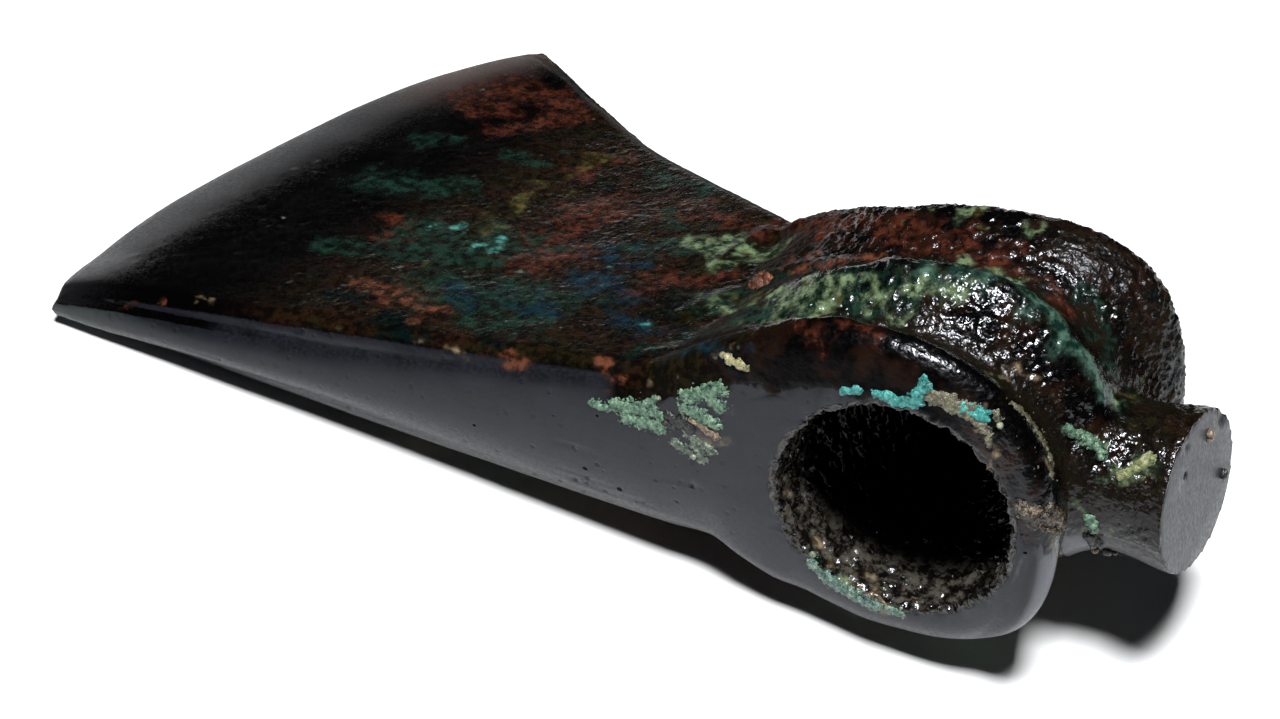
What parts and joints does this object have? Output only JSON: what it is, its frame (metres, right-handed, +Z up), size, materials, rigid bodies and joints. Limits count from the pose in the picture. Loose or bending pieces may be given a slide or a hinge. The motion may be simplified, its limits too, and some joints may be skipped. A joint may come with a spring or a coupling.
{
  "type": "axe head",
  "caption": "Cast bronze shaft-hole axe head with a flaring blade, a ribbed socket and a short round knob behind it, lying on its side.",
  "frame": {"origin": "on the ground under the middle of the lying axe head's outer box", "axes": "+X from the cutting edge towards the knob, +Y along the shaft hole from the near mouth to the far one, +Z up, as it lies on one broad side"},
  "size_m": [0.1476, 0.086, 0.0475],
  "materials": {
    "patinated_bronze": "dark waxed bronze, smooth grey on the near side, rough with brown and green corrosion elsewhere"
  },
  "bodies": {
    "root": {"axe_head": "patinated_bronze"}
  },
  "joints": []
}
